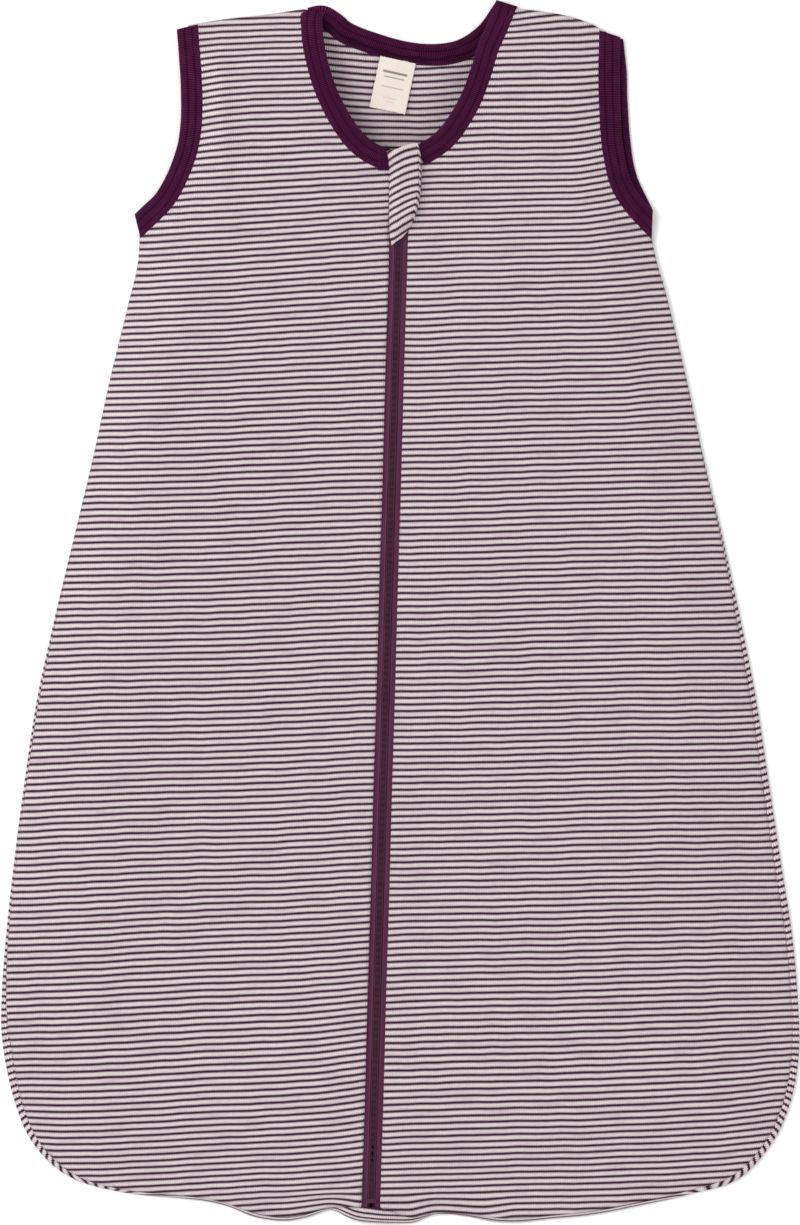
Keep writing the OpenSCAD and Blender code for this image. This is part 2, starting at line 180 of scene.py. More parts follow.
FRONT_NECK_LEFT = [(-48.5, 348.3), (-50.6, 343.5), (-50.8, 336), (-49.6, 325), (-46.9, 313), (-43.2, 301),
    (-38.3, 290), (-32, 279), (-25.3, 270.5), (-18, 264.5), (-10, 260.5)]
FRONT_NECK_RIGHT = [(61.4, 350.2), (58.0, 341.5), (55.0, 334), (51, 325), (46.8, 311), (41.8, 297),
    (35.6, 285), (28.3, 274.5), (20.5, 267.5), (10.5, 261.5)]
BACK_NECK = [(-52, 341.8), (-44.8, 343), (-38, 339.3), (-31, 333.6), (-17, 328), (0, 323), (14, 321),
    (28, 321.6), (40, 325.8), (51, 334.6), (60, 347.5)]

ZIP_FOOT = arr((-16.7, -342))
ZIP_HEAD = arr((0.6, 262))
ZIP_UP = (ZIP_HEAD - ZIP_FOOT) / np.linalg.norm(ZIP_HEAD - ZIP_FOOT)
ZIP_OUT = arr((ZIP_UP[1], -ZIP_UP[0]))
ZIP_RUN = np.linalg.norm(ZIP_HEAD - ZIP_FOOT)
WINDOW = 5.3  # half of the zip that shows between the fronts

left_side, right_side = spline(LEFT_SIDE, 8), spline(RIGHT_SIDE, 8)
lobe = spline(LOBE, 8)
left_arm, right_arm, right_arm_back = (spline(line, 8) for line in (LEFT_ARM, RIGHT_ARM, RIGHT_ARM_BACK))
left_shoulder, right_shoulder = spline(LEFT_SHOULDER, 6), spline(RIGHT_SHOULDER, 6)
silhouette = np.vstack([left_side, lobe, right_side[::-1], right_arm_back, right_shoulder,
                        left_shoulder[::-1], left_arm[::-1]])
# the loft's edge runs outside the armholes, so that their front edges stand clear of the back
loft_line = resample(np.vstack([left_side, lobe, right_side[::-1],
                                [(150, 226), (149, 236), (142, 245), (136, 258), (132.5, 275), (131.5, 300),
                                 (131.5, 322), (129, 333)], right_shoulder[1:], left_shoulder[::-1][:-1],
                                [(-131, 337), (-132.5, 322), (-131.5, 300), (-132.5, 275), (-136, 262),
                                 (-143, 250), (-153, 238), (-152.7, 229)]]), 5)


def zip_point(across, along):
    """Plan point beside the zip: across to the right of its middle, along from its foot."""
    across, along = np.asarray(across, float), np.asarray(along, float)
    return ZIP_FOOT + across[..., None] * ZIP_OUT + along[..., None] * ZIP_UP


def zip_coords(points):
    """(across, along) of plan points; the other way round from zip_point."""
    d = points - ZIP_FOOT
    return d @ ZIP_OUT, d @ ZIP_UP


def plateau(points):
    """Height of the zip tape's top face over the floor."""
    share = np.clip((points @ ZIP_UP - ZIP_FOOT @ ZIP_UP) / ZIP_RUN, -0.02, 1.2)
    return ZIP_Z[0] + (ZIP_Z[1] - ZIP_Z[0]) * share


def creases(x, y):
    """Soft undulations of the cloth as it lies, in millimetres."""
    w = 0.65 * np.sin(x / 31 + 0.4 * np.sin(y / 47)) * np.sin(y / 83 + 1.1)
    w += 0.45 * np.sin((x * 0.8 + y * 0.35) / 19 + 0.8 * np.sin(y / 61)) * hill(y, -120, 160)
    w += 0.9 * hill(x, -33, 9) * hill(y, -285, 60) * np.sin((y + 0.4 * x) / 20)
    w += 0.8 * hill(x - 0.25 * (y - 270), 118, 10) * hill(y, 265, 45)
    w -= 0.8 * hill(x - 0.35 * (y - 250), 133, 7) * hill(y, 245, 45)
    w += 0.7 * hill(x + 0.2 * (y - 300), -112, 12) * hill(y, 300, 30)
    # the lines the bag was folded along: a ridge on the left and a shallow trough on the right
    w += 0.5 * hill(x, -106 + 1.2 * np.sin(y / 40), 4.5) * smooth((y + 260) / 80)
    w += 1.6 * hill(x, -101 + 1.5 * np.sin(y / 17), 4.2) * hill(y, 280, 46)
    w -= 0.8 * hill(x, -92, 5) * hill(y, 285, 40)
    w -= 1.1 * hill(x, -97, 7) * hill(y, 316, 6)
    w -= 0.5 * hill(x, 131 + 1.4 * np.sin(y / 35), 4.5) * smooth((170 - y) / 60)
    w -= 0.7 * hill(x - 0.08 * (y + 250), -207, 5) * hill(y, -250, 42)
    w += 0.5 * hill(x, 137, 6) * smooth((-200 - y) / 60)
    return w


def front_height(points):
    """Height of the front's outer face over the floor."""
    d = distance(points, loft_line)[0]
    x, y = points[:, 0], points[:, 1]
    across = zip_coords(points)[0]
    # the slope from the seams is wider towards the hem, and short where the zip ends in it
    reach = (34 + 30 * smooth((150 - y) / 400)) * (1 - 0.82 * hill(across, 0, 40) * smooth((-290 - y) / 45))
    t = np.clip(d / reach, 0, 1)
    rise = 0.45 * smooth(t) + 0.55 * (1 - (1 - t) ** 2)
    low = SEAM_Z + CLOTH
    top = plateau(points) + 0.05 + CLOTH
    calm = smooth(np.abs(across) / 14)
    return low + rise * (top - low) + creases(x, y) * smooth(d / 18) * calm


# ---- the knit's own coordinates

def knit_front(points, side):
    """(wale, course) in millimetres: where each point of a front lies in its flat knit."""
    x, y = points[:, 0], points[:, 1]
    # pulls: places (cx, cy) about which the stripes slope
    if side < 0:
        s = -0.047 * (x + 16) - 0.00010 * (x + 16) ** 2 * smooth((y + 200) / 300)
        pulls = ((0.09, -32, 20, -275, 70), (0.12, -112, 20, 296, 38), (-0.05, -200, 30, -300, 45),
                 (0.05, -60, 40, 200, 60))
    else:
        s = -0.026 * (x - 8)
        pulls = ((0.24, 122, 16, 262, 52), (0.09, 142, 16, 160, 60), (0.10, 205, 24, -290, 50),
                 (0.12, 76, 22, 345, 16))
    for slope, cx, wx, cy, wy in pulls:
        s = s - slope * wx * np.tanh((x - cx) / wx) * hill(y, cy, wy)
    s = s + 0.35 * np.sin(x / 57 + side) * np.sin(y / 71) + 0.25 * np.sin(x / 23 + y / 90)
    hem = smooth((-329 - y) / 16) * smooth((78 - np.abs(x + 10)) / 30)
    follow = -346 + distance(points, silhouette)[0] - y
    return np.stack([x - ZIP_FOOT[0] - 0.02 * y, y + s * (1 - hem) + follow * 0.55 * hem], 1)


def knit_back(points):
    """(wale, course) of the back, whose stripes sag a little at the neck."""
    x, y = points[:, 0], points[:, 1]
    s = -0.0014 * np.clip(x - 2, -70, 70) ** 2 * smooth((y - 150) / 80)
    s = s + 0.3 * np.sin(x / 40) * np.sin(y / 55 + 1)
    return np.stack([x + 1.1, y + 1.3 + s], 1)


# ---- meshes

def obj(name, verts, faces, uv=None, material=None):
    """A mesh object from millimetre points; uv holds one pair for each point and becomes the knit map."""
    mesh = bpy.data.meshes.new(name)
    verts = np.asarray(verts, float) * MM
    faces = faces.tolist() if isinstance(faces, np.ndarray) else faces
    mesh.from_pydata(verts.tolist(), [], faces)
    if uv is not None:
        layer = mesh.uv_layers.new(name="knit")
        loops = np.empty(len(mesh.loops), int)
        mesh.loops.foreach_get("vertex_index", loops)
        layer.data.foreach_set("uv", np.asarray(uv, np.float32)[loops].ravel())
    mesh.polygons.foreach_set("use_smooth", [True] * len(mesh.polygons))
    mesh.update()
    o = bpy.data.objects.new(name, mesh)
    bpy.context.collection.objects.link(o)
    if material:
        mesh.materials.append(material)
    return o


def thicken(o, thickness, offset=-1):
    """The cloth's thickness, as a modifier; -1 puts it all behind the faces."""
    thick = o.modifiers.new("thickness", "SOLIDIFY")
    thick.thickness, thick.offset = thickness * MM, offset


def cloth_grid(poly, spacing=GRID):
    """Plan points and faces of a regular grid cut to the polygon, with the rim's points pulled onto it."""
    lo, hi = poly.min(0) - spacing, poly.max(0) + spacing
    nx, ny = int((hi[0] - lo[0]) / spacing) + 2, int((hi[1] - lo[1]) / spacing) + 2
    gx, gy = np.meshgrid(lo[0] + spacing * np.arange(nx), lo[1] + spacing * np.arange(ny))
    p = np.stack([gx.ravel(), gy.ravel()], 1)
    d, near = distance(p, poly)
    ix, iy = np.meshgrid(np.arange(nx - 1), np.arange(ny - 1))
    base = (iy * nx + ix).ravel()
    quads = np.stack([base, base + 1, base + nx + 1, base + nx], 1)
    # a cell stays if its corners are inside or near enough to be pulled in, and one is well inside
    good = d[quads] > -0.5 * spacing
    deep = d[quads].max(1) > 0.1 * spacing
    corner = quads[(good.sum(1) == 3) & deep]
    rest = good[(good.sum(1) == 3) & deep]
    tris = corner[rest].reshape(-1, 3)
    quads = quads[good.all(1) & deep]
    rim = d < 0.5 * spacing
    p[rim] = near[rim]
    used, inverse = np.unique(np.r_[quads.ravel(), tris.ravel()], return_inverse=True)
    squares, corners = inverse[: quads.size].reshape(-1, 4), inverse[quads.size :].reshape(-1, 3)
    return p[used], squares.tolist() + corners.tolist()


def strip_faces(rows, cols, closed=False):
    """Quads of a grid of rows x cols points; closed joins the last column to the first."""
    r, c = np.meshgrid(np.arange(rows - 1), np.arange(cols if closed else cols - 1), indexing="ij")
    a = (r * cols + c).ravel()
    b = (r * cols + (c + 1) % cols).ravel()
    return np.stack([a, b, b + cols, a + cols], 1)


def side_frames(path):
    """(lateral to the right, normal) along a 3-D path, with the normal as near to upright as it can be."""
    t = tangents(path)
    lat = np.cross(t, np.broadcast_to(arr((0, 0, 1)), t.shape))
    lat /= np.linalg.norm(lat, axis=1)[:, None]
    return lat, np.cross(lat, t)


def tube(path, radius, sides=6):
    """Points, faces and (along, around) map of a round thread."""
    t = tangents(path)
    ref = np.broadcast_to(arr((0.13, 0.21, 1.0)), t.shape)  # parallel to no thread here
    a = np.cross(t, ref)
    a /= np.linalg.norm(a, axis=1)[:, None]
    b = np.cross(t, a)
    ang = np.linspace(0, 2 * math.pi, sides, endpoint=False)
    v = path[:, None, :] + radius * (np.cos(ang)[None, :, None] * a[:, None, :]
                                     + np.sin(ang)[None, :, None] * b[:, None, :])
    uv = np.stack([np.repeat(length_along(path), sides), np.tile(ang, len(path))], 1)
    return v.reshape(-1, 3), strip_faces(len(path), sides, True), uv


def join(parts):
    """(points, faces, uv) of several pieces as one."""
    verts, faces, uvs, n = [], [], [], 0
    for v, f, uv in parts:
        verts.append(v)
        faces += [[i + n for i in face] for face in (f.tolist() if isinstance(f, np.ndarray) else f)]
        uvs.append(uv)
        n += len(v)
    return np.vstack(verts), faces, np.vstack(uvs)


def stitches(path, normal, length, gap, radius):
    """Short threads that dip into the cloth at both ends, one after another along a 3-D path."""
    s = length_along(path)
    sides, rings, sink = 5, 5, 0.35
    dip = radius * (1 - sink) - (1.5 * radius) * np.abs(np.linspace(-1, 1, rings)) ** 3
    parts = []
    at = gap
    while at + length < s[-1]:
        u = np.linspace(at, at + length, rings)
        p = taken_at(u, s, path) + taken_at(u, s, normal) * dip[:, None]
        parts.append(tube(p, radius, sides))
        at += length + gap
    return join(parts)


# ---- materials

class Nodes:
    """Short calls for a node tree."""

    def __init__(self, name):
        self.material = bpy.data.materials.new(name)
        self.material.use_nodes = True
        self.tree = self.material.node_tree
        self.tree.nodes.clear()
        self.shader = self.add("ShaderNodeBsdfPrincipled")
        out = self.add("ShaderNodeOutputMaterial")
        self.link(self.shader.outputs["BSDF"], out.inputs["Surface"])

    def add(self, kind, **values):
        node = self.tree.nodes.new(kind)
        for key, value in values.items():
            setattr(node, key, value)
        return node

    def link(self, a, b):
        self.tree.links.new(a, b)

    def feed(self, socket, value):
        if isinstance(value, (int, float, tuple)):
            socket.default_value = value
        else:
            self.link(value, socket)

    def feed_all(self, node, values):
        for key, value in values.items():
            self.feed(node.inputs[key], value)

    def math(self, operation, a, b=None):
        node = self.add("ShaderNodeMath", operation=operation)
        for socket, value in zip(node.inputs, (a, b)):
            if value is not None:
                self.feed(socket, value)
        return node.outputs[0]

    def times(self, a, b):
        return self.math("MULTIPLY", a, b)

    def plus(self, a, b):
        return self.math("ADD", a, b)

    def centred(self, value, amount):
        """A value between 0 and 1, moved to lie about zero and scaled."""
        return self.times(self.math("SUBTRACT", value, 0.5), amount)

    def wave(self, value, period):
        """Cosine with this period in millimetres."""
        return self.math("COSINE", self.times(value, 2 * math.pi / period))

    def ramp(self, value, lo, hi, to_lo=0.0, to_hi=1.0):
        node = self.add("ShaderNodeMapRange", interpolation_type="SMOOTHSTEP")
        for k, v in enumerate((value, lo, hi, to_lo, to_hi)):
            self.feed(node.inputs[k], v)
        return node.outputs[0]

    def mix(self, factor, a, b):
        node = self.add("ShaderNodeMix", data_type="RGBA", blend_type="MIX")
        self.feed(node.inputs[0], factor)
        for socket, value in ((node.inputs[6], a), (node.inputs[7], b)):
            self.feed(socket, value + (1.0,) if isinstance(value, tuple) and len(value) == 3 else value)
        return node.outputs[2]

    def tint(self, colour, where, strength, display):
        """The colour with a display colour laid over it, as strong as where times strength."""
        return self.mix(self.times(where, strength), colour, linear(*display))

    def base(self, colour):
        self.feed(self.shader.inputs["Base Color"], colour)

    def knit_uv(self):
        uv = self.add("ShaderNodeUVMap", uv_map="knit")
        split = self.add("ShaderNodeSeparateXYZ")
        self.link(uv.outputs[0], split.inputs[0])
        return split.outputs[0], split.outputs[1]

    def place(self, x, y):
        node = self.add("ShaderNodeCombineXYZ")
        for socket, value in zip(node.inputs, (x, y, 0.0)):
            self.feed(socket, value)
        return node.outputs[0]

    def noise(self, where, scale=1.0, detail=2.0, rough=0.5):
        node = self.add("ShaderNodeTexNoise")
        self.feed_all(node, {"Vector": where, "Scale": scale, "Detail": detail, "Roughness": rough})
        return node.outputs["Fac"]

    def streaks(self, x, y, per_x, per_y, detail, rough=0.5):
        """Noise with its own frequency along each of the map's directions, per millimetre."""
        return self.noise(self.place(self.times(x, per_x), self.times(y, per_y)), 1.0, detail, rough)

    def bump(self, height, strength, distance_m):
        node = self.add("ShaderNodeBump")
        self.feed_all(node, {"Strength": strength, "Distance": distance_m, "Height": height})
        self.link(node.outputs[0], self.shader.inputs["Normal"])

    def finish(self, rough, sheen, sheen_tint, specular):
        self.feed_all(self.shader, {"Roughness": rough, "Sheen Weight": sheen, "Sheen Roughness": 0.4,
                                    "Sheen Tint": sheen_tint + (1.0,), "Specular IOR Level": specular})
        return self.material


def linear(r, g, b):
    """Linear colour from 0-255 display values."""
    return tuple(((c / 255 + 0.055) / 1.055) ** 2.4 if c > 10 else c / 255 / 12.92 for c in (r, g, b))


def jersey_material(name):
    """Natural ground with a thin plum line each PITCH, on fine ribs 1 mm apart."""
    n = Nodes(name)
    wale, course = n.knit_uv()
    here = n.place(wale, course)
    rib = n.wave(wale, 1.02)
    wander = n.centred(n.streaks(wale, course, 0.05, 0.02, 1.0), 1.1)
    fuzz = n.centred(n.noise(here, 1.6, 2.0), 0.62)
    line = n.plus(n.plus(course, wander), n.plus(n.times(rib, 0.26), fuzz))
    phase = n.math("PINGPONG", n.math("DIVIDE", line, PITCH), 0.5)
    # painted shade: the ground is darker in the grooves between the ribs
    groove = n.ramp(rib, -0.2, -1.0)
    haze = n.ramp(n.streaks(wale, course, 0.045, 0.30, 3.0, 0.6), 0.42, 0.78)
    speck = n.ramp(n.noise(here, 0.9, 3.0, 0.7), 0.60, 0.76)
    ground = n.mix(groove, linear(222, 213, 211), linear(176, 162, 168))
    ground = n.tint(ground, haze, 0.50, (176, 153, 166))
    ground = n.tint(ground, speck, 0.25, (132, 102, 118))
    # a fainter mauve shade beside each dark line, where plum loops show through the ground
    ground = n.tint(ground, n.ramp(phase, 0.40, 0.16), 0.42, (124, 86, 110))
    # painted shade on the plum lines as well: lighter on the ribs' crests, darker between them
    plum = n.mix(n.ramp(rib, 0.3, 1.0), linear(44, 10, 38), linear(72, 30, 62))
    n.base(n.mix(n.ramp(phase, 0.245, 0.125), ground, plum))
    stitch = n.times(n.wave(course, 0.95), 0.25)
    n.bump(n.plus(n.plus(rib, stitch), n.times(n.noise(here, 3.0, 3.0), 0.8)), 0.7, 0.00028)
    return n.finish(0.92, 0.12, (1.0, 0.92, 0.95), 0.08)


def ribbed_material(name, dark, light):
    """Plum binding: ribs run across the band. The map is (along, across) in millimetres."""
    n = Nodes(name)
    along, across = n.knit_uv()
    rib, loops = n.wave(along, 1.0), n.wave(across, 0.62)
    # painted shade: the colour is dark in the grooves between the ribs and between the loops, light on their
    # crests
    shade = n.times(n.ramp(rib, -0.9, 0.9), n.ramp(loops, -1.0, 1.0, 0.72, 1.0))
    worn = n.ramp(n.streaks(along, across, 0.10, 0.25, 3.0), 0.40, 0.75)
    colour = n.tint(n.mix(shade, dark, light), worn, 0.35, (92, 30, 74))
    # painted shade in the two sewn channels, darkest where the thread dips into the cloth
    painted_channel_shade = n.ramp(n.wave(along, 1.95), -1.0, 1.0, 0.55, 1.0)
    for row in STITCH_ROWS:
        beside = n.math("ABSOLUTE", n.math("SUBTRACT", across, row * BAND_W / 2))
        colour = n.tint(colour, n.times(n.ramp(beside, 0.62, 0.20), painted_channel_shade), 0.8, (16, 1, 10))
    n.base(colour)
    grain = n.noise(n.place(along, across), 2.5, 3.0)
    n.bump(n.plus(rib, n.plus(n.times(loops, 0.4), n.times(grain, 0.6))), 0.7, 0.00030)
    return n.finish(0.92, 0.04, (0.95, 0.5, 0.85), 0.05)


def tape_material(name):
    """Woven zip tape: fine cords lengthways with a close weft. The map is (across, along) in millimetres."""
    n = Nodes(name)
    across, along = n.knit_uv()
    warp = n.wave(across, 0.78)
    weft = n.math("COSINE", n.plus(n.times(along, 2 * math.pi / 0.52), n.times(warp, 1.2)))
    # painted shade: darker between the warp's cords and between the weft's rows
    shade = n.times(n.ramp(warp, -1.0, 0.8, 0.35, 1.0), n.ramp(weft, -1.0, 1.0, 0.6, 1.0))
    colour = n.mix(shade, linear(52, 14, 38), linear(98, 46, 76))
    # painted shade under the coil and in the sewing's holes beside it, and then a painted highlight on one
    # raised cord
    painted_hole_shade = n.ramp(n.wave(along, 1.1), -0.3, 0.6)
    painted_hole_shade = n.times(n.times(n.ramp(across, 1.7, 1.9), n.ramp(across, 2.45, 2.2)), painted_hole_shade)
    # painted highlight on the raised cord beside the coil
    ridge = n.times(n.ramp(across, 2.45, 2.65), n.ramp(across, 3.1, 2.8))
    worn = n.ramp(n.streaks(across, along, 0.2, 0.03, 2.0), 0.4, 0.7)
    # painted shade under the coil
    colour = n.tint(colour, n.ramp(across, 2.5, 1.9), 0.75, (24, 6, 20))
    colour = n.tint(colour, painted_hole_shade, 0.6, (8, 2, 7))
    colour = n.tint(colour, ridge, 0.35, (128, 84, 112))
    n.base(n.tint(colour, worn, 0.25, (98, 58, 82)))
    grain = n.noise(n.place(across, along), 3.0)
    n.bump(n.plus(n.plus(warp, n.times(weft, 0.6)), n.times(grain, 0.4)), 0.5, 0.00014)
    return n.finish(0.85, 0.05, (0.95, 0.6, 0.85), 0.12)


def thread_material(name, dark, light):
    """Twisted thread. The map is (along, around)."""
    n = Nodes(name)
    along, around = n.knit_uv()
    twist = n.math("SINE", n.plus(n.times(along, 2 * math.pi / 0.5), around))
    n.base(n.mix(n.ramp(twist, -1.0, 1.0), dark, light))
    n.bump(twist, 0.4, 0.00006)
    return n.finish(0.7, 0.03, (1.0, 0.6, 0.9), 0.08)


def coil_material(name):
    """Polyester coil: smooth monofilament with slight variation. The map is (along, around)."""
    n = Nodes(name)
    along, around = n.knit_uv()
    v = n.noise(n.place(n.times(along, 0.6), around), 1.0, 2.0)
    n.base(n.mix(n.ramp(v, 0.3, 0.7), linear(44, 12, 34), linear(84, 38, 66)))
    n.bump(v, 0.15, 0.00004)
    return n.finish(0.5, 0.0, (1.0, 1.0, 1.0), 0.25)


def lacquer_material(name):
    """Plum lacquer on cast metal, worn to bare metal in small flecks."""
    n = Nodes(name)
    where = n.add("ShaderNodeTexCoord").outputs["Object"]
    fleck = n.noise(where, 900.0, 4.0, 0.65)
    worn = n.ramp(fleck, 0.66, 0.74)
    cast = n.noise(where, 2600.0, 2.0)
    n.base(n.mix(worn, n.mix(cast, linear(40, 12, 32), linear(54, 20, 44)), linear(168, 160, 160)))
    n.feed_all(n.shader, {"Metallic": n.times(worn, 0.9), "Roughness": n.ramp(cast, 0.3, 0.7, 0.42, 0.58),
                          "Coat Weight": 0.15, "Specular IOR Level": 0.25})
    n.bump(cast, 0.12, 0.00005)
    return n.material


def label_material(name):
    """Cream woven label with plain bars in place of any marking. The map is (across, down) in millimetres."""
    n = Nodes(name)
    across, down = n.knit_uv()
    weave = n.times(n.wave(across, 0.42), n.wave(down, 0.36))
    colour = n.mix(n.ramp(weave, -1.0, 1.0), linear(206, 196, 186), linear(226, 218, 210))
    grain = n.streaks(across, down, 0.5, 1.6, 3.0)
    colour = n.tint(colour, n.ramp(grain, 0.35, 0.75), 0.35, (196, 184, 172))
    edge = n.centred(n.noise(n.place(across, down), 2.2, 2.0), 0.7)
    x, y = n.plus(across, edge), n.plus(down, edge)
    threads = n.ramp(weave, -0.9, 0.4, 0.55, 1.0)
    soft = 0.15
    for x0, x1, y0, y1, display, strength in (
            (3.4, 17.6, 7.2, 8.6, (52, 52, 58), 0.85), (4.6, 16.4, 10.4, 11.2, (70, 70, 76), 0.7),
            (4.0, 17.0, 16.2, 16.8, (96, 92, 98), 0.6), (6.6, 14.4, 22.6, 23.1, (224, 140, 116), 0.8),
            (8.2, 12.8, 24.6, 25.1, (224, 140, 116), 0.7)):
        inside = n.times(n.times(n.ramp(x, x0 - soft, x0 + soft), n.ramp(x, x1 + soft, x1 - soft)),
                         n.times(n.ramp(y, y0 - soft, y0 + soft), n.ramp(y, y1 + soft, y1 - soft)))
        colour = n.tint(colour, n.times(inside, threads), strength, display)
    n.base(colour)
    n.bump(n.plus(weave, n.times(grain, 1.2)), 0.35, 0.00008)
    return n.finish(0.72, 0.15, (1.0, 0.98, 0.94), 0.3)


def floor_material(name):
    """Near-white paper."""
    n = Nodes(name)
    where = n.add("ShaderNodeTexCoord").outputs["Object"]
    v = n.noise(where, 3.0, 2.0)
    n.base(n.mix(v, (0.90, 0.90, 0.90), (0.93, 0.93, 0.93)))
    return n.finish(0.95, 0.0, (1.0, 1.0, 1.0), 0.0)


jersey = jersey_material("striped_jersey")
binding = ribbed_material("plum_rib", linear(26, 1, 17), linear(92, 26, 74))
seam_thread = thread_material("overlock_thread", linear(58, 26, 48), linear(96, 60, 84))
band_thread = thread_material("coverstitch_thread", linear(20, 1, 14), linear(56, 12, 42))
tape_cloth = tape_material("zip_tape_weave")
coil = coil_material("zip_coil_polyester")
lacquer = lacquer_material("plum_lacquer")
label_cloth = label_material("woven_label")


# ---- pieces whose placement is baked into their meshes


def bend(o):
    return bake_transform(o)


# ---- jersey pieces

SEAM_LEFT = [(-152.7, 229), (-150, 218), (-151, 200), (-156, 179), (-167, 134), (-176.8, 88), (-187.5, 42),
    (-198, -4), (-207.8, -50), (-214.8, -96), (-220.8, -142), (-225.6, -188), (-226.6, -226),
    (-223.8, -250), (-217.8, -281), (-207, -306), (-187, -324), (-158, -332.5), (-118, -336.5),
    (-99, -340.5), (-84, -345.8), (-67, -348.2), (-54, -346.4), (-42, -343), (-30, -342.2), (-23, -342.2)]
SEAM_RIGHT = [(145, 215), (147.5, 203), (154, 180), (165, 134), (174.8, 88), (185.2, 42), (194, -4),
    (202, -50), (208.6, -96), (215.2, -142), (222.4, -188), (225.8, -230), (225.5, -256), (221, -281),
    (211, -304), (192, -324), (165, -333.2), (142, -338.5), (112, -344.4), (86, -347.3), (69, -348.8),
    (54, -348.6), (38, -346.6), (27, -345.6), (18, -346.4), (11.5, -348.2), (5, -348.4), (-1, -346.4),
    (-7, -343.6), (-11.5, -342.4)]
seam_left, seam_right = spline(SEAM_LEFT, 8), spline(SEAM_RIGHT, 8)
neck_left, neck_right = spline(FRONT_NECK_LEFT), spline(FRONT_NECK_RIGHT)
back_neck = spline(BACK_NECK)


def inset_path(path, d):
    """A plan path moved d to its right."""
    t = tangents(path)
    return path + d * np.stack([t[:, 1], -t[:, 0]], 1)


def front_polygon(side):
    """Plan outline of a front: seam, zip edge, neck, shoulder, and the armhole under its binding."""
    zip_edge = zip_point(np.full(2, side * WINDOW), arr((ZIP_RUN - 2, 0)))
    seam, neck, cut, shoulder, arm = ((seam_left, neck_left, 8, left_shoulder, left_arm) if side < 0 else
                                      (seam_right, neck_right, 4, right_shoulder, right_arm))
    arm = inset_path(arm, -side * BAND_W * 0.5)
    return np.vstack([seam[:-1], zip_edge[::-1], neck[::-1][:-cut], shoulder[::-1], arm[::-1][4:]])


def make_front(side, name):
    """One front: cloth from the side seam to the zip, with a raised turned edge there."""
    poly = front_polygon(side)
    p, quads = cloth_grid(poly)
    z = front_height(p)
    d = distance(p, poly)[0]
    across, along = zip_coords(p)
    by_zip = np.abs(across) - WINDOW
    # the turned edge beside the zip, and then the dip at the side and hem seams
    z = z + 0.35 * hill(by_zip, 1.2, 1.6) - 0.5 * smooth(1 - by_zip / 0.9)
    if side < 0:  # lower at the neck's corner, so that the binding covers it
        z = z - 1.5 * smooth((p[:, 1] - 338) / 8) * hill(p[:, 0], -52, 9)
    on_seam = (along < ZIP_RUN - 90) & (by_zip > 6)
    z = z - 0.7 * smooth(1 - d / 2.2) * on_seam
    o = obj(name, np.column_stack([p, z]), quads, knit_front(p, side), material=jersey)
    thicken(o, CLOTH)
    bend(o)
    return o


front_left = make_front(-1, "front_cloth_left")
front_right = make_front(1, "front_cloth_right")
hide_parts("front_panel_left", "front_lapel_left")
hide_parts("front_panel_right", "front_lapel_right")


ROLL_OUT = 3.0  # how far the flat back runs under the roll's outer line
ROLL_LOW = 0.12  # height of the roll's lowest line
ROLL_COLS = 15


def back_polygon():
    """Plan outline of the flat back."""
    left = inset_path(left_arm, BAND_W * 0.5)
    right = inset_path(right_arm_back, -BAND_W * 0.5)
    rim = inset_path(np.vstack([left_side, lobe, right_side[::-1]]), -ROLL_OUT)
    return np.vstack([rim, right[4:], right_shoulder, back_neck[::-1], left_shoulder[::-1],
                      left[::-1][:-4]])


